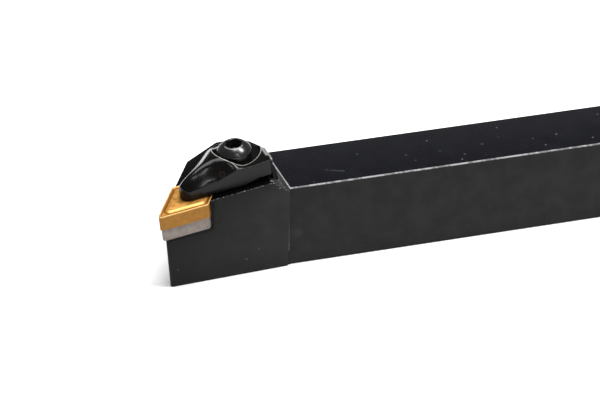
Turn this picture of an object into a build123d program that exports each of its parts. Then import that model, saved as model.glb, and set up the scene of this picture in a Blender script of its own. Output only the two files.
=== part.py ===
from build123d import *
import math
import os

# External turning tool holder, right hand, for a 55 degree double-sided insert held by a clamp.
# Millimetres. X runs along the shank, with the cutting head towards -X. Y = 0 is the middle of
# the shank and Z = 0 is its base. X = 0 is where the head ends and the ground shank begins.

# Shank
shank_width = 25.0
shank_height = 25.0
tool_length = 150.0
edge_break = 0.35
end_chamfer = 1.0

# Cutting tip: where the two cutting edges would meet without the corner radius
head_length = 41.65
tip_offset = 19.5
tip_height = 25.0
lead_angle = 3.0
edge_inclination = 6.8
rake_angle = 6.8

# Insert
point_angle = 55.0
inscribed_circle = 12.7
insert_thickness = 4.76
corner_radius = 0.8
insert_hole_diameter = 5.16
land_width = 0.25
groove_depth = 0.28
groove_bottom_width = 0.35
groove_inner_width = 2.0

# Shim under the insert, and the countersunk screw that holds it
shim_thickness = 4.15
shim_inset = 0.25
shim_chamfer = 0.4
shim_screw_diameter = 4.0
shim_screw_head_diameter = 6.8
shim_screw_length = 11.0
shim_screw_head_depth = 0.3
shim_socket_width = 2.5
shim_socket_depth = 1.8
shim_countersink_angle = 60.0
shim_hole_clearance = 0.2

# Head
side_clearance_angle = 6.0
side_setback = 1.15
front_clearance_angle = 1.0
front_setback = 0.85
front_corner_radius = 0.8
top_above_insert = 0.12
back_slant_angle = 30.0
back_slant_start = -11.5
back_chamfer_width = 3.0
back_chamfer_angle = 45.0
ramp_angle = 37.0
ramp_foot_distance = 29.72
side_step_length = 1.0
pocket_gap = 0.05
pocket_corner_radius = 0.6

# Clamp, in the seat frame: a nose over the insert's hole and a round boss for its screw
clamp_angle = 17.5
screw_distance = 16.8
nose_radius = 2.95
boss_radius = 8.05
tail_corner_start = 23.8
tail_end = 27.65
tail_end_low_side = 1.6
tail_end_width = 3.0
tail_lean = 12.5
tail_inner = 24.8
tail_bevel_start = 5.7
tail_bevel_angle = 47.0
clamp_gap = 0.05
pad_length = 3.3
pad_height = 0.35
underside_rise_start = 15.7
underside_rise_end = 20.5
underside_rise = 1.5
tail_depth = 5.0
recess_radius = 6.4
recess_shift = 1.4
recess_floor = 5.2
clamp_hole_radius = 3.3
spring_pocket_radius = 5.0
spring_pocket_depth = 3.4
pin_diameter = 4.4
pin_depth = 2.4
pin_pull = 0.2
pin_chamfer = 0.5

# Top of the clamp at stations along its axis: distance from the insert's hole, height at the
# sides, height of the ridge, half width of the ridge and how square the ridge is. A station's
# curve runs through the heights at these distances from the axis, the same on both sides.
clamp_section_offsets = [0.0, 2.0, 4.0, 6.0, 8.0, 10.0, 12.0]
clamp_stations = [
    (-5.0, 0.4, 1.0, 2.2, 2.0),
    (-1.5, 1.88, 5.67, 2.49, 2.0),
    (2.0, 2.78, 7.25, 3.12, 1.99),
    (5.5, 3.36, 8.26, 3.84, 2.02),
    (9.0, 4.37, 9.03, 4.95, 2.77),
    (12.5, 5.82, 8.85, 6.09, 4.41),
    (16.0, 6.15, 6.98, 5.15, 3.47),
    (19.5, 6.39, 6.92, 4.97, 2.93),
    (23.0, 6.75, 7.01, 5.0, 3.0),
    (26.5, 6.93, 6.98, 5.0, 3.0),
    (30.0, 6.9, 6.9, 5.0, 3.0),
]

# Clamp screw
screw_diameter = 6.0
screw_length = 24.0
screw_head_diameter = 10.0
screw_head_side_height = 2.8
screw_head_height = 4.75
screw_dome_top_diameter = 5.6
screw_socket_width = 4.0
screw_socket_depth = 3.0
screw_gap = 0.05
thread_clearance = 0.05
screw_hole_margin = 3.0

# Spring that lifts the clamp when its screw is loosened
spring_wire_diameter = 0.9
spring_inner_radius = 3.5
spring_turns = 1.5
spring_gap = 0.05

BIG = 100.0


def unit(degrees):
    return Vector(math.cos(math.radians(degrees)), math.sin(math.radians(degrees)), 0)


def slope(degrees):
    return math.tan(math.radians(degrees))


# Seat frame: origin at the middle of the insert's top, x along the side cutting edge, z square
# to the insert
edge_dir = (unit(lead_angle) + Vector(0, 0, slope(edge_inclination))).normalized()
across_dir = unit(lead_angle + 90) + Vector(0, 0, slope(rake_angle))
seat_normal = edge_dir.cross(across_dir).normalized()
edge_half = inscribed_circle / 2 / math.sin(math.radians(point_angle))
tip = Vector(-head_length, -tip_offset, tip_height)
tip_plane = Plane(origin=tip, x_dir=edge_dir, z_dir=seat_normal)
middle_x = edge_half * (1 + math.cos(math.radians(point_angle)))
middle_y = inscribed_circle / 2
seat = Plane(origin=tip_plane.from_local_coords((middle_x, middle_y, 0)), x_dir=edge_dir, z_dir=seat_normal)
insert_bottom = -insert_thickness
shim_bottom = insert_bottom - shim_thickness
half_point = math.radians(point_angle / 2)
corner_inset = corner_radius * (math.cos(math.radians(lead_angle) + half_point) / math.sin(half_point) - 1)
shank_end = tool_length - head_length + corner_inset
screw_x = screw_distance * unit(clamp_angle).X
screw_y = screw_distance * unit(clamp_angle).Y


def seat_direction(x, y, z=0):
    """A direction of the seat frame, in the part's frame."""
    return seat.x_dir * x + seat.y_dir * y + seat.z_dir * z


def rhombus_corners(width):
    """Corners of a rhombus on the seat's centre: tip, end of the side edge, inner, end of the front edge."""
    half_edge = width / 2 / math.sin(math.radians(point_angle))
    lean = half_edge * math.cos(math.radians(point_angle))
    half_width = width / 2
    return [
        (-half_edge - lean, -half_width),
        (half_edge - lean, -half_width),
        (half_edge + lean, half_width),
        (-half_edge + lean, half_width),
    ]


def rhombus(width, radius):
    outline = make_face(Polyline(*rhombus_corners(width), close=True))
    return fillet(outline.vertices(), radius)


def cylinder_between(radius, low, high, x=0.0, y=0.0):
    return extrude(Pos(x, y, low) * Circle(radius), high - low)


def hexagon_hole(width, low, high, x=0.0, y=0.0):
    return extrude(Pos(x, y, low) * RegularPolygon(width / 2, 6, major_radius=False), high - low)


def chip_groove():
    """Moulded chip-breaking channel round the top face, between the land and the plateau."""
    outer = rhombus(inscribed_circle - 2 * land_width, corner_radius - land_width / 2)
    wall_angle = math.degrees(math.atan2(groove_bottom_width, groove_depth))
    channel = extrude(outer, -groove_depth, taper=wall_angle)
    plateau = rhombus(inscribed_circle - 2 * groove_inner_width, corner_radius / 2)
    plateau_run = groove_inner_width - land_width - 2 * groove_bottom_width
    plateau_angle = math.degrees(math.atan2(plateau_run, groove_depth))
    return channel - extrude(plateau, -groove_depth, taper=-plateau_angle)


def make_insert():
    body = extrude(rhombus(inscribed_circle, corner_radius), -insert_thickness)
    groove = chip_groove()
    body -= groove
    body -= Pos(0, 0, insert_bottom) * Rot(180, 0, 0) * mirror(groove, Plane.XZ)
    body -= cylinder_between(insert_hole_diameter / 2, insert_bottom - 1, 1)
    return body


def shim_screw_head_height():
    return (shim_screw_head_diameter - shim_screw_diameter) / 2 / slope(shim_countersink_angle / 2)


def shim_screw_shape(extra):
    """Countersunk screw, grown all round by a clearance to make its hole."""
    top = insert_bottom - shim_screw_head_depth
    neck = top - shim_screw_head_height()
    end = top - shim_screw_length - 2 * extra
    head_radius = shim_screw_head_diameter / 2 + extra
    shank_radius = shim_screw_diameter / 2 + extra
    profile = Polyline(
        (0, top), (head_radius, top), (shank_radius, neck), (shank_radius, end), (0, end), close=True
    )
    return revolve(Plane.XZ * make_face(profile), Axis.Z)


def make_shim():
    plate = Pos(0, 0, insert_bottom) * extrude(
        rhombus(inscribed_circle - 2 * shim_inset, corner_radius), -shim_thickness
    )
    plate = chamfer(plate.faces().sort_by(Axis.Z)[0].edges(), shim_chamfer)
    plate -= shim_screw_shape(shim_hole_clearance)
    head_room = shim_screw_head_diameter / 2 + shim_hole_clearance
    return plate - cylinder_between(head_room, insert_bottom - shim_screw_head_depth, insert_bottom + 1)


def make_shim_screw():
    top = insert_bottom - shim_screw_head_depth
    return shim_screw_shape(0) - hexagon_hole(shim_socket_width, top - shim_socket_depth, top + 1)


def head_side_plane():
    """Side of the head: along the cutting edge, leaning under it by the clearance angle."""
    down = Vector(0, slope(side_clearance_angle), -1)
    normal = edge_dir.cross(down).normalized()
    start = tip + unit(lead_angle + 90) * side_setback
    return Plane(origin=start, z_dir=normal if normal.Y < 0 else -normal)


def head_front_plane():
    """Front of the head: along the insert's second edge, leaning back by its clearance angle."""
    lean = math.radians(point_angle)
    second_edge = seat_direction(math.cos(lean), math.sin(lean))
    outward = Vector(-second_edge.Y, second_edge.X, 0).normalized()
    down = Vector(0, 0, -1) - outward * slope(front_clearance_angle)
    normal = second_edge.cross(down).normalized()
    start = tip - outward * front_setback
    return Plane(origin=start, z_dir=normal if normal.X < 0 else -normal)


def head_top_plane():
    return Plane(origin=seat.from_local_coords((0, 0, top_above_insert)), z_dir=seat_normal)


def head_back_plane():
    return Plane(origin=(back_slant_start, shank_width / 2, 0), z_dir=unit(90 + back_slant_angle))


def head_back_chamfer_plane():
    """Lowers the back of the head behind the clamp."""
    top = head_top_plane()
    upright = Axis((back_slant_start, shank_width / 2 - back_chamfer_width, 0), (0, 0, 1))
    lean = math.radians(back_chamfer_angle)
    return Plane(origin=top.intersect(upright), z_dir=(0, math.sin(lean), math.cos(lean)))


def ramp_plane(raised=0.0):
    """Slope behind the head's top that the clamp's tail slides down."""
    normal = Vector(math.sin(math.radians(ramp_angle)), 0, math.cos(math.radians(ramp_angle)))
    foot = Vector(seat.origin.X + ramp_foot_distance, 0, shank_height)
    return Plane(origin=foot + normal * raised, z_dir=normal)


def make_shank():
    middle = Pos(shank_end / 2, 0, shank_height / 2)
    bar = middle * Box(shank_end, shank_width, shank_height)
    bar = chamfer(bar.faces().sort_by(Axis.X)[-1].edges(), end_chamfer)
    return chamfer(bar.edges().filter_by(Axis.X), edge_break)


def make_head():
    """Head as one block, cut by the planes of its faces."""
    reach = head_length + 5
    side_reach = tip_offset + 5
    tall = 2 * shank_height
    wide = Pos(-(reach + side_step_length) / 2, (shank_width / 2 - side_reach) / 2, tall / 2)
    block = wide * Box(reach - side_step_length, shank_width / 2 + side_reach, tall)
    block += Pos(-reach / 2, 0, tall / 2) * Box(reach, shank_width, tall)
    for face in [head_top_plane(), head_back_chamfer_plane(), ramp_plane()]:
        block = split(block, bisect_by=face, keep=Keep.BOTTOM)
    block += Pos(-reach / 2, 0, shank_height / 2) * Box(reach, shank_width, shank_height)
    for face in [head_side_plane(), head_front_plane(), head_back_plane()]:
        block = split(block, bisect_by=face, keep=Keep.BOTTOM)
    return block


def front_corner_edge(block):
    """The upright edge where the head's side and front meet."""
    return block.edges().filter_by(lambda edge: edge.length > shank_height / 2).sort_by(Axis.X)[0]


def pocket_cut():
    """Space for shim and insert, open past the two cutting edges."""
    wide = inscribed_circle + 2 * pocket_gap
    inner = Vector(*rhombus_corners(wide)[2])
    past_side = unit(point_angle) * -BIG
    past_front = Vector(-BIG, 0)
    outline = Polyline(
        inner,
        inner + past_side,
        inner + past_side + past_front,
        inner + past_front,
        close=True,
    )
    area = make_face(outline)
    corner = area.vertices().sort_by(Axis.X)[-1]
    return Pos(0, 0, shim_bottom) * extrude(fillet(corner, pocket_corner_radius), BIG)


def make_holder_body():
    head = make_head()
    head = fillet(front_corner_edge(head), front_corner_radius)
    body = head + make_shank()
    body -= seat.location * pocket_cut()
    body -= seat.location * shim_screw_shape(thread_clearance)
    hole_depth = screw_length - recess_floor + screw_hole_margin
    hole_radius = screw_diameter / 2 + thread_clearance
    body -= seat.location * cylinder_between(hole_radius, -hole_depth, 1, screw_x, screw_y)
    return body


def clamp_top():
    """Solid under the clamp's top surface, lofted along the clamp's axis."""
    half = clamp_section_offsets[-1]
    floor = -tail_depth - 1
    offsets = [-y for y in reversed(clamp_section_offsets[1:])] + clamp_section_offsets
    sections = []
    for station, side, crest, width, squareness in clamp_stations:
        fall = [math.exp(-((abs(y) / width) ** squareness)) for y in offsets]
        points = [Vector(station, y, side + (crest - side) * share) for y, share in zip(offsets, fall)]
        frame = [points[-1], Vector(station, half, floor), Vector(station, -half, floor), points[0]]
        sections.append(make_face([Spline(*points), Polyline(*frame)]))
    return Rot(0, 0, clamp_angle) * loft(sections)


def clamp_outline():
    nose = Circle(nose_radius)
    boss = Pos(screw_x, screw_y) * Circle(boss_radius)
    tail = make_face(
        Polyline(
            (screw_x, -nose_radius),
            (tail_corner_start, -nose_radius),
            (tail_end, tail_end_low_side),
            (tail_end, tail_end_low_side + tail_end_width),
            (screw_x, screw_y),
            close=True,
        )
    )
    return make_hull(nose.edges() + boss.edges() + tail.edges())


def tail_back(height):
    """Where the clamp's leaning back face is at a height above the insert."""
    return tail_end - (height + tail_depth) * slope(tail_lean)


def clamp_underside():
    """Side profile of the clamp above the insert: pad on the insert, relief and rise to the tail."""
    front = -nose_radius - 1
    profile = Polyline(
        (front, clamp_gap),
        (pad_length, clamp_gap),
        (pad_length + pad_height, clamp_gap + pad_height),
        (underside_rise_start, clamp_gap + pad_height),
        (underside_rise_end, underside_rise),
        (tail_back(underside_rise), underside_rise),
        (tail_back(BIG / 5), BIG / 5),
        (front, BIG / 5),
        close=True,
    )
    return extrude(Plane.XZ * make_face(profile), BIG, both=True)


def bevel_outline(height):
    """Outline of the bevel's inside: round the boss, straight along the back and the far side."""
    reach = 1.5 * tail_end
    step_in = max(0, height - tail_bevel_start) * slope(tail_bevel_angle)
    radius = boss_radius - step_in
    back = tail_back(tail_bevel_start) - step_in
    corner = Rot(0, 0, -clamp_angle) * Pos(back, tail_end_low_side + tail_end_width)
    back_edge = corner.position + unit(-90 - clamp_angle) * reach
    sides = Polyline(corner.position, back_edge, (-reach, back_edge.Y), (-reach, radius), close=True)
    boss = Pos(screw_distance, 0) * Circle(radius)
    return Pos(0, 0, height) * make_hull(boss.edges() + sides.edges())


def clamp_bevel():
    """Everything inside the bevel round the clamp's back and far side."""
    low = extrude(bevel_outline(0), tail_bevel_start) + extrude(bevel_outline(0), -tail_end)
    high = loft([bevel_outline(tail_bevel_start), bevel_outline(tail_bevel_start + boss_radius / 2)], ruled=True)
    return Rot(0, 0, clamp_angle) * (low + high)


def clamp_hook():
    """Side profile of the tail, from the relief down past the ramp."""
    top = underside_rise + pad_height
    profile = Polyline(
        (tail_inner, top),
        (tail_inner, -tail_depth),
        (tail_end, -tail_depth),
        (tail_back(top), top),
        close=True,
    )
    return extrude(Plane.XZ * make_face(profile), BIG, both=True)


def recess_outline(radius):
    """Slot along the clamp's axis, from the screw towards the tail."""
    start = Circle(radius)
    end = Pos(recess_shift, 0) * Circle(radius)
    slot = make_hull(start.edges() + end.edges())
    return Pos(screw_x, screw_y) * Rot(0, 0, clamp_angle) * slot


def make_clamp():
    plan = extrude(clamp_outline(), BIG / 2, both=True)
    body = plan & clamp_top() & clamp_underside() & clamp_bevel()
    body -= Pos(0, 0, recess_floor) * extrude(recess_outline(recess_radius), BIG)
    body -= extrude(recess_outline(clamp_hole_radius), BIG, both=True)
    body -= cylinder_between(spring_pocket_radius, -1, spring_pocket_depth, screw_x, screw_y)
    pin_place = unit(clamp_angle) * pin_pull
    pin = cylinder_between(pin_diameter / 2, -pin_depth, pad_height, pin_place.X, pin_place.Y)
    pin = chamfer(pin.edges().group_by(Axis.Z)[0], pin_chamfer)
    hook = seat.location * (plan & clamp_hook())
    hook = split(hook, bisect_by=ramp_plane(clamp_gap), keep=Keep.TOP)
    return seat.location * (body + pin) + hook


def make_clamp_screw():
    seat_height = recess_floor + screw_gap
    shoulder = seat_height + screw_head_side_height
    top = seat_height + screw_head_height
    end = seat_height - screw_length
    radius = screw_diameter / 2
    head_radius = screw_head_diameter / 2
    top_radius = screw_dome_top_diameter / 2
    centre = (top**2 + top_radius**2 - shoulder**2 - head_radius**2) / 2 / (top - shoulder)
    dome_radius = math.hypot(head_radius, shoulder - centre)
    dome = RadiusArc((top_radius, top), (head_radius, shoulder), dome_radius)
    outline = Polyline(
        (top_radius, top),
        (0, top),
        (0, end),
        (radius, end),
        (radius, seat_height),
        (head_radius, seat_height),
        (head_radius, shoulder),
    )
    screw = revolve(Plane.XZ * make_face([dome, outline]), Axis.Z)
    screw -= hexagon_hole(screw_socket_width, top - screw_socket_depth, top + 1)
    return Pos(screw_x, screw_y) * screw


def make_clamp_spring():
    wire_radius = spring_wire_diameter / 2
    coil_radius = spring_inner_radius + wire_radius
    low = top_above_insert + spring_gap + wire_radius
    height = spring_pocket_depth - spring_gap - wire_radius - low
    path = Helix(height / spring_turns, height, coil_radius)
    section = Plane(origin=path @ 0, z_dir=path % 0) * RegularPolygon(wire_radius, 4)
    coil = sweep(section, path=path)
    return Pos(screw_x, screw_y, low) * coil


def main():
    parts = {
        "holder_body": make_holder_body(),
        "shim": seat.location * make_shim(),
        "shim_screw": seat.location * make_shim_screw(),
        "insert": seat.location * make_insert(),
        "clamp": make_clamp(),
        "clamp_screw": seat.location * make_clamp_screw(),
        "clamp_spring": seat.location * make_clamp_spring(),
    }
    os.makedirs("parts", exist_ok=True)
    for name, shape in parts.items():
        solids = shape.solids()
        export_step(solids[0] if len(solids) == 1 else Compound(children=solids), f"parts/{name}.step")


main()
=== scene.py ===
import bpy
import bmesh
import math
from mathutils import Matrix, Vector
from mathutils.kdtree import KDTree
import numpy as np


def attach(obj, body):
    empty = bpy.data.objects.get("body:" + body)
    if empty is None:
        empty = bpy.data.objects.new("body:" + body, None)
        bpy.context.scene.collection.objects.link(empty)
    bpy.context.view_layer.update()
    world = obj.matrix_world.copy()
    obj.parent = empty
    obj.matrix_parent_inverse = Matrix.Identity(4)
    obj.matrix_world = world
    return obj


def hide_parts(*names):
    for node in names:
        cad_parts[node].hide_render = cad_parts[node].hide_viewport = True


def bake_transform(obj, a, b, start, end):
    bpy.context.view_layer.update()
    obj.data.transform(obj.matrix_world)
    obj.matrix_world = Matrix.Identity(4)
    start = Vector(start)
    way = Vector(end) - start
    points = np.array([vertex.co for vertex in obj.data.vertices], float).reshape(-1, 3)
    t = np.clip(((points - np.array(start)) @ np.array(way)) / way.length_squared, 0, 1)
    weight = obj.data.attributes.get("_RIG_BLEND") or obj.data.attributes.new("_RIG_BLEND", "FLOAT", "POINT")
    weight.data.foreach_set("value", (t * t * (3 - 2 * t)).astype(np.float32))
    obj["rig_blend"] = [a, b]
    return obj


# Turning tool holder: blackened holder, clamp and screw, gold-coloured insert, grey carbide shim.
# Metres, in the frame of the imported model: X along the shank, Z up, the tool's side towards -Y.

MM = 0.001
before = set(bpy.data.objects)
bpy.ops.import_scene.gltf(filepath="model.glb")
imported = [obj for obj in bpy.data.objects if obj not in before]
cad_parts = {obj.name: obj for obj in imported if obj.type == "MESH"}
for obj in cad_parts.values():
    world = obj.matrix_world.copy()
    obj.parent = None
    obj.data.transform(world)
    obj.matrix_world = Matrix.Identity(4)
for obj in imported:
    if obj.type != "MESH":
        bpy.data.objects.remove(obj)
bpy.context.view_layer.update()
bpy.ops.object.select_all(action="DESELECT")

# Seat of the insert: the middle of its top, the direction of its side edge, and its normal
SEAT_MIDDLE = Vector((-29.97248, -12.57340, 27.18572)) * MM
SEAT_NORMAL = Vector((-0.111267671, -0.123575268, 0.986077410))
LEAD = math.radians(3.0)
EDGE_RISE = math.tan(math.radians(6.8))
SEAT_X = Vector((math.cos(LEAD), math.sin(LEAD), EDGE_RISE)).normalized()
SEAT_Y = SEAT_NORMAL.cross(SEAT_X).normalized()

# The clamp lies turned from the side edge, with the screw's axis this many mm from the seat's middle.
# The recess for the screw's head is a slot that goes on past the axis, to RECESS_END.
CLAMP_TURN = math.radians(17.5)
SCREW_AXIS = 16.8
RECESS_END = SCREW_AXIS + 1.4

# Camera: its turn in degrees, its place in metres and its lens in mm
CAMERA_YAW, CAMERA_PITCH, CAMERA_ROLL = -17.16, 26.90, -0.32
CAMERA_PLACE = Vector((-213.138, -712.319, 392.245)) * MM
CAMERA_LENS = 169.845
CAMERA_SENSOR = 36

FLOOR_SIZE = 6
WORLD_STRENGTH = 0.20
LIGHT_AIM = (0.0, 0.0, 0.02)

# Corners of a mesh that are closer than this are joined
MERGE_DISTANCE = 0.002 * MM
# Sharp edges are sampled at this step, to paint along them
EDGE_STEP = 0.1 * MM

# Colours. A pair is the darker and the lighter blotch of one surface.
STEEL_SIDE = ((0.0085, 0.0085, 0.0091), (0.0135, 0.0135, 0.0138))
# Painted shade: the tone of the top faces, darker and bluer than the sides
STEEL_TOP_PAINTED_SHADE = ((0.0024, 0.0026, 0.0042), (0.0042, 0.0044, 0.0064))
STEEL_NEAR_TIP = (0.0048, 0.0050, 0.0056)
# Painted shade: the head's top, beside and under the clamp, painted near black
STEEL_HEAD_TOP_PAINTED_SHADE = (0.0009, 0.0009, 0.0010)
STEEL_SPECK = (0.16, 0.17, 0.19)
# Pale edge lines: wear and painted highlights
STEEL_WEAR_AND_HIGHLIGHT = (0.46, 0.46, 0.47)
STEEL_MARK = (0.45, 0.46, 0.48)
STEEL_RUBBED = (0.30, 0.30, 0.30)
CONTACT_SHADOW = (0.0006, 0.0005, 0.0005)
CLAMP_BLACK = ((0.0016, 0.0015, 0.0014), (0.0034, 0.0031, 0.0029))
CLAMP_WALL = (0.0082, 0.0082, 0.0081)
# Pale clamp edges: wear and painted highlights
CLAMP_WEAR_AND_HIGHLIGHT = (0.40, 0.39, 0.38)
CLAMP_STAIN = (0.040, 0.019, 0.016)
SCREW_BLACK = ((0.004, 0.0035, 0.0035), (0.009, 0.0075, 0.0072))
# Pale socket mouth: wear and a painted highlight
SCREW_WEAR_AND_HIGHLIGHT = (0.50, 0.49, 0.48)
CARBIDE_GREY = ((0.148, 0.122, 0.107), (0.215, 0.184, 0.165))
CARBIDE_GRAIN = (0.11, 0.09, 0.08)
GOLD_SIDE = ((0.215, 0.092, 0.006), (0.265, 0.118, 0.010))
GOLD_SIDE_GRAIN = (0.17, 0.066, 0.006)
GOLD_TOP = ((0.46, 0.20, 0.028), (0.76, 0.40, 0.10))
GOLD_TOP_GRAIN = (0.52, 0.22, 0.03)
# Painted shade in the chip-breaker groove
GOLD_GROOVE_SHADE = (0.20, 0.075, 0.006)
# Pale cutting edge: wear and a painted highlight
GOLD_WEAR_AND_HIGHLIGHT = (0.60, 0.36, 0.12)
SPRING_STEEL = ((0.20, 0.20, 0.21), (0.32, 0.32, 0.33))


def seat_point(distance, turned):
    """A point of the insert's top plane, distance mm from its middle, turned from its side edge."""
    return SEAT_MIDDLE + (SEAT_X * math.cos(turned) + SEAT_Y * math.sin(turned)) * distance * MM


# ---------------------------------------------------------------- camera and studio

def add_camera():
    yaw, pitch, roll = (math.radians(turn) for turn in (CAMERA_YAW, CAMERA_PITCH, CAMERA_ROLL))
    flat = math.cos(pitch)
    back = Vector((math.sin(yaw) * flat, -math.cos(yaw) * flat, math.sin(pitch)))
    right = Vector((math.cos(yaw), math.sin(yaw), 0))
    up = back.cross(right)
    level_right = right * math.cos(roll) + up * math.sin(roll)
    level_up = up * math.cos(roll) - right * math.sin(roll)
    bpy.ops.object.camera_add()
    camera = bpy.context.object
    camera.name = "camera"
    turn = Matrix((level_right, level_up, back)).transposed().to_4x4()
    camera.matrix_world = Matrix.Translation(CAMERA_PLACE) @ turn
    camera.data.sensor_width = CAMERA_SENSOR
    camera.data.lens = CAMERA_LENS
    camera.data.clip_start = 0.05
    camera.data.clip_end = 20
    bpy.context.scene.camera = camera


def add_floor():
    bpy.ops.mesh.primitive_plane_add(size=FLOOR_SIZE, location=(0, 0, 0))
    floor = bpy.context.object
    floor.name = "floor"
    material = bpy.data.materials.new("pale_floor")
    material.use_nodes = True
    shader = material.node_tree.nodes["Principled BSDF"]
    shader.inputs["Base Color"].default_value = (0.93, 0.93, 0.93, 1)
    shader.inputs["Roughness"].default_value = 0.9
    shader.inputs["Specular IOR Level"].default_value = 0.1
    floor.data.materials.append(material)


def add_softbox(name, place, aim, width, height, power, lean=0.0):
    """Light panel that faces aim; lean turns it about its own axis, in degrees."""
    bpy.ops.object.light_add(type="AREA")
    light = bpy.context.object
    light.name = name
    light.data.shape = "RECTANGLE"
    light.data.size = width
    light.data.size_y = height
    light.data.energy = power
    place, aim = Vector(place), Vector(aim)
    facing = (aim - place).to_track_quat("-Z", "Y").to_matrix().to_4x4()
    turn = Matrix.Rotation(math.radians(lean), 4, "Z")
    light.matrix_world = Matrix.Translation(place) @ facing @ turn


def light_studio():
    world = bpy.data.worlds.new("studio")
    bpy.context.scene.world = world
    world.use_nodes = True
    background = world.node_tree.nodes["Background"]
    background.inputs["Color"].default_value = (1, 1, 1, 1)
    background.inputs["Strength"].default_value = WORLD_STRENGTH
    add_softbox("overhead", (0.10, 0.02, 1.4), LIGHT_AIM, 0.9, 0.9, 26)
    add_softbox("streak", (0.05, -0.88, 0.92), LIGHT_AIM, 0.05, 0.34, 1.1, 44)
    add_softbox("right", (0.535, -0.309, 1.03), LIGHT_AIM, 0.34, 0.34, 10.0)
    bpy.context.scene.view_settings.view_transform = "Standard"


# ---------------------------------------------------------------- shared effects as node groups

def new_group(name, inputs, outputs):
    group = bpy.data.node_groups.new(name, "ShaderNodeTree")
    for label, kind, value in inputs:
        socket = group.interface.new_socket(name=label, in_out="INPUT", socket_type="NodeSocket" + kind)
        socket.default_value = value
    for label, kind in outputs:
        group.interface.new_socket(name=label, in_out="OUTPUT", socket_type="NodeSocket" + kind)
    start = group.nodes.new("NodeGroupInput")
    end = group.nodes.new("NodeGroupOutput")
    return group, start, end


def math_node(tree, operation, first, second=None, third=None, clamp=False):
    node = tree.nodes.new("ShaderNodeMath")
    node.operation = operation
    node.use_clamp = clamp
    for slot, value in enumerate((first, second, third)):
        if value is None:
            continue
        if isinstance(value, (int, float)):
            node.inputs[slot].default_value = value
        else:
            tree.links.new(value, node.inputs[slot])
    return node.outputs[0]


def ramp_value(tree, value, low, high, smooth=True):
    node = tree.nodes.new("ShaderNodeMapRange")
    node.interpolation_type = "SMOOTHSTEP" if smooth else "LINEAR"
    node.inputs["From Min"].default_value = low
    node.inputs["From Max"].default_value = high
    tree.links.new(value, node.inputs["Value"])
    return node.outputs["Result"]


def noise_value(tree, position, scale, detail, roughness=0.55):
    node = tree.nodes.new("ShaderNodeTexNoise")
    tree.links.new(position, node.inputs["Vector"])
    tree.links.new(scale, node.inputs["Scale"])
    node.inputs["Detail"].default_value = detail
    node.inputs["Roughness"].default_value = roughness
    return node.outputs["Fac"]


def mix_colour(tree, mask, first, second):
    node = tree.nodes.new("ShaderNodeMix")
    node.data_type = "RGBA"
    for slot, value in ((0, mask), (6, first), (7, second)):
        if isinstance(value, tuple):
            node.inputs[slot].default_value = (*value, 1)
        elif isinstance(value, (int, float)):
            node.inputs[slot].default_value = value
        else:
            tree.links.new(value, node.inputs[slot])
    return node.outputs[2]


def mix_in(tree, mask, strength, tone, colour):
    """tone, with colour over it where mask is, by no more than strength."""
    return mix_colour(tree, math_node(tree, "MULTIPLY", mask, strength), tone, colour)


def vector_node(tree, operation, first, second=None):
    node = tree.nodes.new("ShaderNodeVectorMath")
    node.operation = operation
    tree.links.new(first, node.inputs[0])
    if second is not None:
        tree.links.new(second, node.inputs[1])
    return node.outputs


def painted(tree, name):
    """The float attribute of that name, as painted on the piece."""
    node = tree.nodes.new("ShaderNodeAttribute")
    node.attribute_name = name
    return node.outputs["Fac"]


def object_position(tree):
    return tree.nodes.new("ShaderNodeTexCoord").outputs["Object"]


def line_mask_group():
    """1 near a straight line from Start along Direction for Length, broken up by fine noise."""
    group, start, end = new_group(
        "line_mask",
        [("Position", "Vector", (0, 0, 0)), ("Start", "Vector", (0, 0, 0)),
         ("Direction", "Vector", (1, 0, 0)), ("Length", "Float", 1.0), ("Width", "Float", 0.0003),
         ("Break", "Float", 0.5), ("Grain", "Float", 900.0)],
        [("Mask", "Float")],
    )
    offset = vector_node(group, "SUBTRACT", start.outputs["Position"], start.outputs["Start"])[0]
    along = vector_node(group, "DOT_PRODUCT", offset, start.outputs["Direction"])["Value"]
    across = vector_node(group, "CROSS_PRODUCT", offset, start.outputs["Direction"])[0]
    distance = vector_node(group, "LENGTH", across)["Value"]
    share = math_node(group, "DIVIDE", distance, start.outputs["Width"])
    near = ramp_value(group, share, 1.0, 0.55)
    after_start = math_node(group, "GREATER_THAN", along, 0.0)
    before_end = math_node(group, "LESS_THAN", along, start.outputs["Length"])
    inside = math_node(group, "MULTIPLY", after_start, before_end)
    noise = noise_value(group, start.outputs["Position"], start.outputs["Grain"], 2.0)
    broken = ramp_value(group, noise, 0.42, 0.58)
    missing = math_node(group, "MULTIPLY", broken, start.outputs["Break"])
    kept = math_node(group, "SUBTRACT", 1.0, missing)
    line = math_node(group, "MULTIPLY", near, inside)
    mask = math_node(group, "MULTIPLY", line, kept, clamp=True)
    group.links.new(mask, end.inputs["Mask"])
    return group


def metal_grain_group():
    """Blotches and fine grain of a ground or blackened metal: a wide mask, a fine mask and a height."""
    group, start, end = new_group(
        "metal_grain",
        [("Position", "Vector", (0, 0, 0)), ("Blotch Scale", "Float", 150.0),
         ("Grain Scale", "Float", 3000.0)],
        [("Blotches", "Float"), ("Grain", "Float"), ("Height", "Float")],
    )
    wide = noise_value(group, start.outputs["Position"], start.outputs["Blotch Scale"], 3.0)
    fine = noise_value(group, start.outputs["Position"], start.outputs["Grain Scale"], 2.0, 0.7)
    group.links.new(ramp_value(group, wide, 0.3, 0.7), end.inputs["Blotches"])
    group.links.new(ramp_value(group, fine, 0.3, 0.7), end.inputs["Grain"])
    height = math_node(group, "MULTIPLY_ADD", wide, 0.4, fine)
    group.links.new(height, end.inputs["Height"])
    return group


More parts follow.
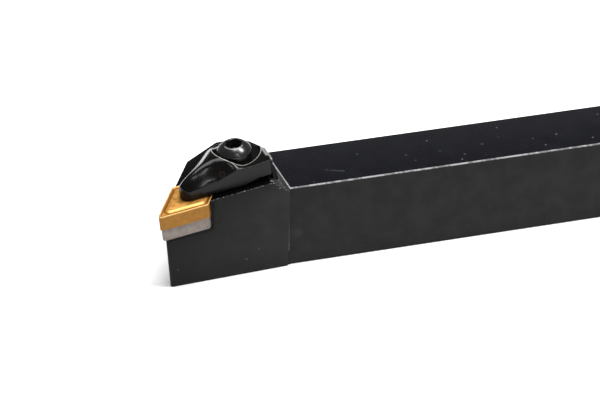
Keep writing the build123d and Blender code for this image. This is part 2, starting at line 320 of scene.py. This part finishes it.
def specks_group():
    """Small separate specks: dust, nicks and rubbed points."""
    group, start, end = new_group(
        "specks",
        [("Position", "Vector", (0, 0, 0)), ("Scale", "Float", 400.0),
         ("Size", "Float", 0.12), ("Share", "Float", 0.1)],
        [("Mask", "Float")],
    )
    cells = group.nodes.new("ShaderNodeTexVoronoi")
    group.links.new(start.outputs["Position"], cells.inputs["Vector"])
    group.links.new(start.outputs["Scale"], cells.inputs["Scale"])
    near = math_node(group, "LESS_THAN", cells.outputs["Distance"], start.outputs["Size"])
    split = group.nodes.new("ShaderNodeSeparateColor")
    group.links.new(cells.outputs["Color"], split.inputs["Color"])
    chosen = math_node(group, "LESS_THAN", split.outputs["Red"], start.outputs["Share"])
    faint = math_node(group, "MULTIPLY", chosen, split.outputs["Green"])
    group.links.new(math_node(group, "MULTIPLY", near, faint), end.inputs["Mask"])
    return group


def spot_group():
    """A soft round mark of a Radius about Centre; Hollow turns it into a ring."""
    group, start, end = new_group(
        "spot",
        [("Position", "Vector", (0, 0, 0)), ("Centre", "Vector", (0, 0, 0)),
         ("Radius", "Float", 0.0005), ("Hollow", "Float", 0.0)],
        [("Mask", "Float")],
    )
    apart = vector_node(group, "DISTANCE", start.outputs["Position"], start.outputs["Centre"])
    share = math_node(group, "DIVIDE", apart["Value"], start.outputs["Radius"])
    disc = ramp_value(group, share, 1.0, 0.5)
    hole = math_node(group, "MULTIPLY", ramp_value(group, share, 0.6, 0.3), start.outputs["Hollow"])
    group.links.new(math_node(group, "SUBTRACT", disc, hole, clamp=True), end.inputs["Mask"])
    return group


LINE_MASK = line_mask_group()
SPOT = spot_group()
METAL_GRAIN = metal_grain_group()
SPECKS = specks_group()


def use_group(tree, group, position, **values):
    node = tree.nodes.new("ShaderNodeGroup")
    node.node_tree = group
    tree.links.new(position, node.inputs["Position"])
    for label, value in values.items():
        node.inputs[label.replace("_", " ")].default_value = value
    return node


def new_material(name, roughness, metallic=0.0, specular=0.5):
    material = bpy.data.materials.new(name)
    material.use_nodes = True
    shader = material.node_tree.nodes["Principled BSDF"]
    shader.inputs["Roughness"].default_value = roughness
    shader.inputs["Metallic"].default_value = metallic
    shader.inputs["Specular IOR Level"].default_value = specular
    return material, material.node_tree, shader


def add_bump(tree, shader, height, strength, distance):
    bump = tree.nodes.new("ShaderNodeBump")
    bump.inputs["Strength"].default_value = strength
    bump.inputs["Distance"].default_value = distance
    tree.links.new(height, bump.inputs["Height"])
    tree.links.new(bump.outputs["Normal"], shader.inputs["Normal"])


# ---------------------------------------------------------------- materials

# Pale lines of the holder, partly worn and rubbed steel and partly painted highlights on its edges, in mm:
# start, direction, length, width, then how broken up they are, the scale of that and their strength. The
# top's near edge, the step to the head, a scratch on top and the step's upright edge.
WEAR_AND_HIGHLIGHT_LINES = (
    ((0, -12.36, 24.86), (1, 0, 0), 110, 0.34, 0.6, 700.0, 0.6),
    ((0.0, -12.6, 25.0), (0, 1, 0), 26, 0.25, 0.35, 900.0, 0.6),
    ((13.2, -4.4, 25.0), (0.911, -0.412, 0.0), 5.8, 0.5, 0.6, 900.0, 0.05),
    ((-0.5, -12.6, 4.5), (0, 0, 1), 20.4, 0.34, 0.45, 500.0, 0.10),
)
# Painted contact shadows: dark lines where insert and shim stand against the holder and where the shim
# stands on it, in mm: start, direction, length
CONTACT_LINES = (
    ((-24.75, -17.42, 26.8), (0.0127, 0.1146, -0.993), 9.6),
    ((-38.6, -17.15, 16.30), (0.9947, 0.0533, 0.0888), 14.2),
)
CONTACT_WIDTH = 0.95
# Small pale marks, in mm: centre, radius, and their strength
MARKS = (
    ((-14.0, -14.5, 5.0), 0.45, 0.07), ((-35.0, -15.9, 5.6), 0.45, 0.05),
    ((-10.2, -14.5, 7.9), 0.35, 0.05), ((2.3, -12.5, 10.0), 1.9, 0.010),
    ((25.5, 2.9, 25.0), 0.5, 0.08), ((39.0, -2.2, 25.0), 0.45, 0.10),
    ((49.5, -2.7, 25.0), 0.4, 0.07), ((63.1, -2.1, 25.0), 0.55, 0.08),
    ((40.6, -6.4, 25.0), 0.4, 0.08), ((-6.3, -15.2, 29.3), 0.7, 0.30),
    ((-4.2, -15.9, 27.4), 0.45, 0.30),
)


def in_metres(point):
    return tuple(v * MM for v in point)


def line_mask(tree, position, start, direction, length, width, broken, fineness):
    line = use_group(
        tree, LINE_MASK, position,
        Start=in_metres(start), Direction=direction, Length=length * MM,
        Width=width * MM, Break=broken, Grain=fineness,
    )
    return line.outputs["Mask"]


def make_black_steel():
    """Ground and blackened holder: grey-black, rubbed bright on some edges, with specks on top. Painted
    shade darkens its top faces, most of all on the head; its pale edge lines are partly painted highlights;
    painted contact shadows lie beside insert and shim.
    """
    material, tree, shader = new_material("black_steel", 0.5, 0.0, 0.12)
    position = object_position(tree)
    grain = use_group(tree, METAL_GRAIN, position, Blotch_Scale=160.0, Grain_Scale=2200.0)
    dark = mix_colour(tree, grain.outputs["Blotches"], *STEEL_SIDE)
    split = tree.nodes.new("ShaderNodeSeparateXYZ")
    tree.links.new(position, split.inputs[0])
    behind_tip = ramp_value(tree, split.outputs["X"], -0.045, -0.006, False)
    dark = mix_colour(tree, behind_tip, STEEL_NEAR_TIP, dark)
    # Painted shade: the top faces take a darker, bluer copy of the steel, near black on the head's top
    top_dark = mix_colour(tree, grain.outputs["Blotches"], *STEEL_TOP_PAINTED_SHADE)
    on_head = math_node(tree, "LESS_THAN", split.outputs["X"], -0.0005)
    top_dark = mix_colour(tree, on_head, top_dark, STEEL_HEAD_TOP_PAINTED_SHADE)
    top = painted(tree, "top")
    dark = mix_colour(tree, top, dark, top_dark)
    specks = use_group(tree, SPECKS, position, Scale=520.0, Size=0.16, Share=0.10)
    at_top = math_node(tree, "GREATER_THAN", split.outputs["Z"], 0.0248)
    tone = mix_in(tree, specks.outputs["Mask"], at_top, dark, STEEL_SPECK)
    # Pale lines along edges: partly wear, partly painted highlights
    for *line, strength in WEAR_AND_HIGHLIGHT_LINES:
        tone = mix_in(tree, line_mask(tree, position, *line), strength, tone, STEEL_WEAR_AND_HIGHLIGHT)
    # Painted contact shadows along these lines
    for line in CONTACT_LINES:
        mask = line_mask(tree, position, *line, CONTACT_WIDTH, 0.1, 600.0)
        tone = mix_colour(tree, mask, tone, CONTACT_SHADOW)
    for centre, radius, strength in MARKS:
        spot = use_group(tree, SPOT, position, Centre=in_metres(centre), Radius=radius * MM)
        tone = mix_in(tree, spot.outputs["Mask"], strength, tone, STEEL_MARK)
    rubbed = painted(tree, "rubbed")
    flecks = use_group(tree, METAL_GRAIN, position, Blotch_Scale=2300.0, Grain_Scale=4000.0)
    left = ramp_value(tree, flecks.outputs["Blotches"], 0.4, 0.95)
    tone = mix_in(tree, rubbed, left, tone, STEEL_RUBBED)
    tree.links.new(tone, shader.inputs["Base Color"])
    rough = math_node(tree, "MULTIPLY_ADD", grain.outputs["Grain"], 0.12, 0.44)
    rough = math_node(tree, "MULTIPLY_ADD", top, -0.24, rough)
    tree.links.new(rough, shader.inputs["Roughness"])
    add_bump(tree, shader, grain.outputs["Height"], 0.25, 0.00003)
    return material


def make_black_clamp():
    """Tumbled and blackened clamp: glossy dark, its sharp edges pale, partly worn to bare steel and partly
    painted highlights.
    """
    material, tree, shader = new_material("black_clamp", 0.3, 0.0, 0.18)
    position = object_position(tree)
    grain = use_group(tree, METAL_GRAIN, position, Blotch_Scale=260.0, Grain_Scale=2600.0)
    dark = mix_colour(tree, grain.outputs["Blotches"], *CLAMP_BLACK)
    wall = painted(tree, "wall")
    tone = mix_colour(tree, wall, dark, CLAMP_WALL)
    # Pale edges: wear and painted highlights
    tone = mix_colour(tree, painted(tree, "wear_and_highlight"), tone, CLAMP_WEAR_AND_HIGHLIGHT)
    stain = use_group(
        tree, SPOT, position, Centre=(-0.0210, -0.0149, 0.0337), Radius=1.3 * MM, Hollow=0.8
    )
    tone = mix_in(tree, stain.outputs["Mask"], 0.3, tone, CLAMP_STAIN)
    tree.links.new(tone, shader.inputs["Base Color"])
    rough = math_node(tree, "MULTIPLY_ADD", grain.outputs["Grain"], 0.06, 0.13)
    rough = math_node(tree, "MULTIPLY_ADD", wall, 0.28, rough)
    tree.links.new(rough, shader.inputs["Roughness"])
    add_bump(tree, shader, grain.outputs["Height"], 0.12, 0.00002)
    return material


def make_black_screw():
    """Blackened screw, pale at the mouth of its socket: a little wear and a painted highlight."""
    material, tree, shader = new_material("black_screw", 0.22, 0.0, 0.7)
    position = object_position(tree)
    grain = use_group(tree, METAL_GRAIN, position, Blotch_Scale=500.0, Grain_Scale=3500.0)
    dark = mix_colour(tree, grain.outputs["Blotches"], *SCREW_BLACK)
    tone = mix_colour(tree, painted(tree, "wear_and_highlight"), dark, SCREW_WEAR_AND_HIGHLIGHT)
    tree.links.new(tone, shader.inputs["Base Color"])
    rough = math_node(tree, "MULTIPLY_ADD", grain.outputs["Grain"], 0.10, 0.17)
    tree.links.new(rough, shader.inputs["Roughness"])
    add_bump(tree, shader, grain.outputs["Height"], 0.15, 0.00002)
    return material


def make_carbide():
    """Bare carbide: a matt, warm grey."""
    material, tree, shader = new_material("carbide", 0.5, 0.6, 0.5)
    position = object_position(tree)
    grain = use_group(tree, METAL_GRAIN, position, Blotch_Scale=450.0, Grain_Scale=5200.0)
    tone = mix_colour(tree, grain.outputs["Blotches"], *CARBIDE_GREY)
    tone = mix_in(tree, grain.outputs["Grain"], 0.35, tone, CARBIDE_GRAIN)
    tree.links.new(tone, shader.inputs["Base Color"])
    rough = math_node(tree, "MULTIPLY_ADD", grain.outputs["Grain"], 0.15, 0.42)
    tree.links.new(rough, shader.inputs["Roughness"])
    add_bump(tree, shader, grain.outputs["Height"], 0.3, 0.00003)
    return material


def make_gold_coating():
    """Fine-grained coating: deep yellow, paler where the moulded ridges are rubbed and carry a painted
    highlight, darker with painted shade in the chip-breaker groove.
    """
    material, tree, shader = new_material("gold_coating", 0.4, 0.5, 0.4)
    position = object_position(tree)
    grain = use_group(tree, METAL_GRAIN, position, Blotch_Scale=700.0, Grain_Scale=6000.0)
    tone = mix_colour(tree, grain.outputs["Blotches"], *GOLD_SIDE)
    tone = mix_in(tree, grain.outputs["Grain"], 0.3, tone, GOLD_SIDE_GRAIN)
    top_tone = mix_colour(tree, grain.outputs["Blotches"], *GOLD_TOP)
    top_tone = mix_in(tree, grain.outputs["Grain"], 0.3, top_tone, GOLD_TOP_GRAIN)
    tone = mix_colour(tree, painted(tree, "top"), tone, top_tone)
    # Painted shade in the chip-breaker groove
    tone = mix_colour(tree, painted(tree, "groove_shade"), tone, GOLD_GROOVE_SHADE)
    # Rubbed cutting edge with a painted highlight
    tone = mix_colour(tree, painted(tree, "wear_and_highlight"), tone, GOLD_WEAR_AND_HIGHLIGHT)
    tree.links.new(tone, shader.inputs["Base Color"])
    rough = math_node(tree, "MULTIPLY_ADD", grain.outputs["Grain"], 0.18, 0.30)
    tree.links.new(rough, shader.inputs["Roughness"])
    add_bump(tree, shader, grain.outputs["Height"], 0.4, 0.00004)
    return material


def make_spring_steel():
    """Bare wire, hardly marked."""
    material, tree, shader = new_material("spring_steel", 0.35, 0.9, 0.5)
    position = object_position(tree)
    grain = use_group(tree, METAL_GRAIN, position, Blotch_Scale=600.0, Grain_Scale=4200.0)
    tone = mix_colour(tree, grain.outputs["Blotches"], *SPRING_STEEL)
    tree.links.new(tone, shader.inputs["Base Color"])
    rough = math_node(tree, "MULTIPLY_ADD", grain.outputs["Grain"], 0.15, 0.28)
    tree.links.new(rough, shader.inputs["Roughness"])
    return material


# ---------------------------------------------------------------- modelling helpers

def only(piece):
    bpy.ops.object.select_all(action="DESELECT")
    piece.select_set(True)
    bpy.context.view_layer.objects.active = piece


def apply_modifiers(piece):
    only(piece)
    for name in [modifier.name for modifier in piece.modifiers]:
        bpy.ops.object.modifier_apply(modifier=name)


def copy_of_node(node, name):
    """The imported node's shape with its split corners joined, and without its normals and materials."""
    piece = bpy.data.objects.new(name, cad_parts[node].data.copy())
    bpy.context.scene.collection.objects.link(piece)
    piece.data.materials.clear()
    for attribute in [a.name for a in piece.data.attributes if a.name.startswith("custom_normal")]:
        piece.data.attributes.remove(piece.data.attributes[attribute])
    only(piece)
    bpy.ops.object.mode_set(mode="EDIT")
    bpy.ops.mesh.select_all(action="SELECT")
    bpy.ops.mesh.remove_doubles(threshold=MERGE_DISTANCE)
    bpy.ops.object.mode_set(mode="OBJECT")
    return piece


def dissolve_flat(piece):
    """Join the triangles of flat faces."""
    only(piece)
    bpy.ops.object.mode_set(mode="EDIT")
    bpy.ops.mesh.select_all(action="SELECT")
    bpy.ops.mesh.dissolve_limited(angle_limit=math.radians(1.0))
    bpy.ops.object.mode_set(mode="OBJECT")


def bevel_edges(piece, width, degrees):
    bevel = piece.modifiers.new("edges", "BEVEL")
    bevel.width = width
    bevel.segments = 2
    bevel.limit_method = "ANGLE"
    bevel.angle_limit = math.radians(degrees)
    apply_modifiers(piece)


def smooth_by_angle(piece, degrees=30):
    only(piece)
    bpy.ops.object.shade_smooth_by_angle(angle=math.radians(degrees))


def remesh_smooth(piece, voxel, rounds):
    remesh = piece.modifiers.new("skin", "REMESH")
    remesh.mode = "VOXEL"
    remesh.voxel_size = voxel
    smooth = piece.modifiers.new("soften", "SMOOTH")
    smooth.iterations = rounds
    smooth.factor = 0.5
    apply_modifiers(piece)
    only(piece)
    bpy.ops.object.shade_smooth()


def sharp_edge_points(piece, degrees, chosen, step=EDGE_STEP):
    """Points along the edges sharper than degrees, kept where chosen(point) is true."""
    mesh = bmesh.new()
    mesh.from_mesh(piece.data)
    points = []
    for edge in mesh.edges:
        if len(edge.link_faces) == 2 and edge.calc_face_angle(0) > math.radians(degrees):
            first, second = edge.verts[0].co, edge.verts[1].co
            count = max(1, int((second - first).length / step))
            points += [first.lerp(second, (i + 0.5) / count) for i in range(count)]
    mesh.free()
    return [point for point in points if chosen(point)]


def point_tree(points):
    tree = KDTree(len(points))
    for index, point in enumerate(points):
        tree.insert(point, index)
    tree.balance()
    return tree


def clamp_share(value, low=0.0):
    return max(low, min(1.0, value))


def paint(piece, name, domain, values):
    attribute = piece.data.attributes.new(name, "FLOAT", domain)
    attribute.data.foreach_set("value", values)


def paint_near(piece, name, *layers):
    """Paint layers of (points, full width, outer width, strength); the strongest one counts."""
    values = [0.0] * len(piece.data.vertices)
    for points, full, outer, strength in layers:
        tree = point_tree(points)
        for index, vertex in enumerate(piece.data.vertices):
            distance = tree.find(vertex.co)[2]
            share = clamp_share((outer - distance) / (outer - full))
            values[index] = max(values[index], strength * share * share * (3 - 2 * share))
    paint(piece, name, "POINT", values)


def in_seat(point, turned=0.0):
    """A point's place in the seat frame, in mm, turned about the seat's normal."""
    offset = (point - SEAT_MIDDLE) / MM
    x, y, z = offset.dot(SEAT_X), offset.dot(SEAT_Y), offset.dot(SEAT_NORMAL)
    return (x * math.cos(turned) + y * math.sin(turned), y * math.cos(turned) - x * math.sin(turned), z)


def finish_piece(piece, material, body, slot, *nodes):
    piece.data.materials.clear()
    piece.data.materials.append(material)
    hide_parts(*nodes)
    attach(piece, body)


# ---------------------------------------------------------------- pieces

def make_holder():
    """Holder with rounded edges; the head's near upper edges and its ramp are rubbed."""
    holder = copy_of_node("holder_body", "holder_dressed")
    dissolve_flat(holder)

    def head_edge(point):
        return point.y < -0.012 and point.z > 0.0251 and point.x < -0.0003

    edge_points = point_tree(sharp_edge_points(holder, 20, head_edge, 2 * EDGE_STEP))
    bevel_edges(holder, 0.15 * MM, 20)
    smooth_by_angle(holder)
    rubbed = []
    for face in holder.data.polygons:
        corners = [holder.data.vertices[index].co for index in face.vertices]
        on_edge = all(edge_points.find(corner)[2] < 0.25 * MM for corner in corners)
        on_ramp = 0.5 < face.normal.x < 0.7 and face.normal.z > 0.7
        rubbed.append(0.8 if on_edge else 0.22 if on_ramp else 0.0)
    paint(holder, "rubbed", "FACE", rubbed)
    paint(holder, "top", "FACE", [1.0 if face.normal.z > 0.75 else 0.0 for face in holder.data.polygons])
    finish_piece(holder, make_black_steel(), "holder", "black_steel", "holder_body")


def make_clamp():
    """Clamp with soft edges, pale round the recess, along the nose's far crest and at the tail: partly wear,
    partly painted highlight.
    """
    clamp = copy_of_node("clamp", "clamp_dressed")

    def rim(point):
        x, y, z = in_seat(point, CLAMP_TURN)
        along = max(SCREW_AXIS, min(RECESS_END, x))
        return z > 5.9 and math.hypot(x - along, y) < 6.9

    def far_ridge(point):
        x, y, z = in_seat(point, CLAMP_TURN)
        return z > 3.0 + 0.18 * x and x < 13.0 and y > 1.0

    def rear_bevel(point):
        x, y, z = in_seat(point, CLAMP_TURN)
        return z > 5.5 and x > 23.0 and y < 4.0

    edge = sharp_edge_points(clamp, 24, rim)
    crest = sharp_edge_points(clamp, 24, lambda p: far_ridge(p) and not rim(p))
    band = sharp_edge_points(clamp, 15, rear_bevel)
    remesh_smooth(clamp, 0.16 * MM, 4)
    # Wear and painted highlights: recess rim, far crest of the nose and a wide band on the rear bevel
    paint_near(
        clamp, "wear_and_highlight",
        (edge, 0.14 * MM, 0.38 * MM, 0.9),
        (crest, 0.08 * MM, 0.34 * MM, 0.75),
        (band, 0.1 * MM, 0.75 * MM, 0.5),
    )
    wall = []
    for vertex in clamp.data.vertices:
        upright = abs(vertex.normal.dot(SEAT_NORMAL))
        near_screw = in_seat(vertex.co, CLAMP_TURN)[0] / 14
        wall.append(clamp_share((0.35 - upright) / 0.25) * clamp_share(near_screw, 0.25))
    paint(clamp, "wall", "POINT", wall)
    finish_piece(clamp, make_black_clamp(), "clamp", "black_clamp", "clamp")


def widen_socket_mouth(screw):
    """Spread the corners of the hexagon's mouth, so that the socket narrows downwards."""
    middle = seat_point(SCREW_AXIS, CLAMP_TURN)
    for vertex in screw.data.vertices:
        x, y, z = in_seat(vertex.co, CLAMP_TURN)
        if z > 9.9 and math.hypot(x - SCREW_AXIS, y) < 2.45:
            offset = vertex.co - middle
            offset -= SEAT_NORMAL * offset.dot(SEAT_NORMAL)
            vertex.co += offset * 0.12


def make_screw():
    """Screw with soft edges and a wider socket mouth, pale on that mouth's near side: wear and a painted
    highlight.
    """
    screw = copy_of_node("clamp_screw", "clamp_screw_dressed")

    def mouth(point):
        x, y, z = in_seat(point, CLAMP_TURN)
        off_axis = math.hypot(x - SCREW_AXIS, y)
        return z > 9.8 and y < 0.6 and x < RECESS_END and off_axis > 2.5

    points = sharp_edge_points(screw, 24, mouth)
    widen_socket_mouth(screw)
    remesh_smooth(screw, 0.12 * MM, 3)
    # Wear and a painted highlight on the near side of the socket's mouth
    paint_near(screw, "wear_and_highlight", (points, 0.05 * MM, 0.28 * MM, 0.35))
    finish_piece(screw, BLACK_SCREW, "clamp_screw", "black_screw", "clamp_screw")


def make_shim():
    """Shim with rounded edges."""
    shim = copy_of_node("shim", "shim_dressed")
    dissolve_flat(shim)
    bevel_edges(shim, 0.10 * MM, 25)
    smooth_by_angle(shim)
    finish_piece(shim, CARBIDE, "holder", "carbide", "shim")


def make_insert():
    """Insert with soft edges: near cutting edge painted pale, partly rubbed and partly a painted highlight;
    painted shade darkens the chip-breaker groove.
    """
    insert = copy_of_node("insert", "insert_dressed")

    def near_edge(point):
        across, up = in_seat(point)[1:]
        return abs(up) < 0.05 and across < -4.0

    def groove_foot(point):
        return -0.4 < in_seat(point)[2] < -0.2

    ridge = sharp_edge_points(insert, 8, near_edge)
    groove_shade = sharp_edge_points(insert, 8, groove_foot)
    remesh_smooth(insert, 0.13 * MM, 3)
    # Wear and a painted highlight along the near cutting edge
    paint_near(insert, "wear_and_highlight", (ridge, 0.12 * MM, 0.45 * MM, 1.0))
    # Painted shade along the foot of the chip-breaker groove
    paint_near(insert, "groove_shade", (groove_shade, 0.12 * MM, 0.45 * MM, 1.0))
    upward = [vertex.normal.dot(SEAT_NORMAL) for vertex in insert.data.vertices]
    paint(insert, "top", "POINT", [clamp_share(share * 4 - 1.6) for share in upward])
    finish_piece(insert, make_gold_coating(), "holder", "gold_coating", "insert")


def make_spring():
    """Round wire coil round the screw, which stretches between holder and clamp."""
    wire, coil_radius, turns = 0.35 * MM, 3.95 * MM, 3
    heights = [in_seat(vertex.co)[2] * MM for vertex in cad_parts["clamp_spring"].data.vertices]
    low, high = min(heights), max(heights)
    bpy.ops.mesh.primitive_circle_add(
        vertices=10, radius=wire, location=(coil_radius, 0, 0), rotation=(math.pi / 2, 0, 0)
    )
    spring = bpy.context.object
    spring.name = "clamp_spring_dressed"
    only(spring)
    bpy.ops.object.transform_apply(location=True, rotation=True, scale=True)
    coil = spring.modifiers.new("coil", "SCREW")
    coil.angle = 2 * math.pi
    coil.iterations = turns
    coil.screw_offset = (high - low - 2 * wire) / turns
    coil.steps = 32
    apply_modifiers(spring)
    bpy.ops.object.mode_set(mode="EDIT")
    bpy.ops.mesh.select_all(action="SELECT")
    bpy.ops.mesh.remove_doubles(threshold=MERGE_DISTANCE)
    bpy.ops.mesh.select_all(action="SELECT")
    bpy.ops.mesh.fill_holes(sides=10)
    bpy.ops.mesh.select_all(action="SELECT")
    bpy.ops.mesh.normals_make_consistent(inside=False)
    bpy.ops.object.mode_set(mode="OBJECT")
    smooth_by_angle(spring, 50)
    foot = seat_point(SCREW_AXIS, CLAMP_TURN) + SEAT_NORMAL * (low + wire)
    turn = Matrix((SEAT_X, SEAT_Y, SEAT_NORMAL)).transposed().to_4x4()
    spring.data.transform(Matrix.Translation(foot) @ turn)
    spring.data.materials.clear()
    spring.data.materials.append(make_spring_steel())
    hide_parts("clamp_spring")
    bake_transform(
        spring, "holder", "clamp",
        start=tuple(foot), end=tuple(foot + SEAT_NORMAL * (high - low - 2 * wire)),
    )


def dress_shim_screw():
    """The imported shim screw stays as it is, under the insert, and only gets its material."""
    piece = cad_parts["shim_screw"]
    piece.data.materials.clear()
    piece.data.materials.append(BLACK_SCREW)


CARBIDE = make_carbide()
BLACK_SCREW = make_black_screw()

add_camera()
add_floor()
light_studio()
make_holder()
make_clamp()
make_screw()
make_shim()
make_insert()
make_spring()
dress_shim_screw()
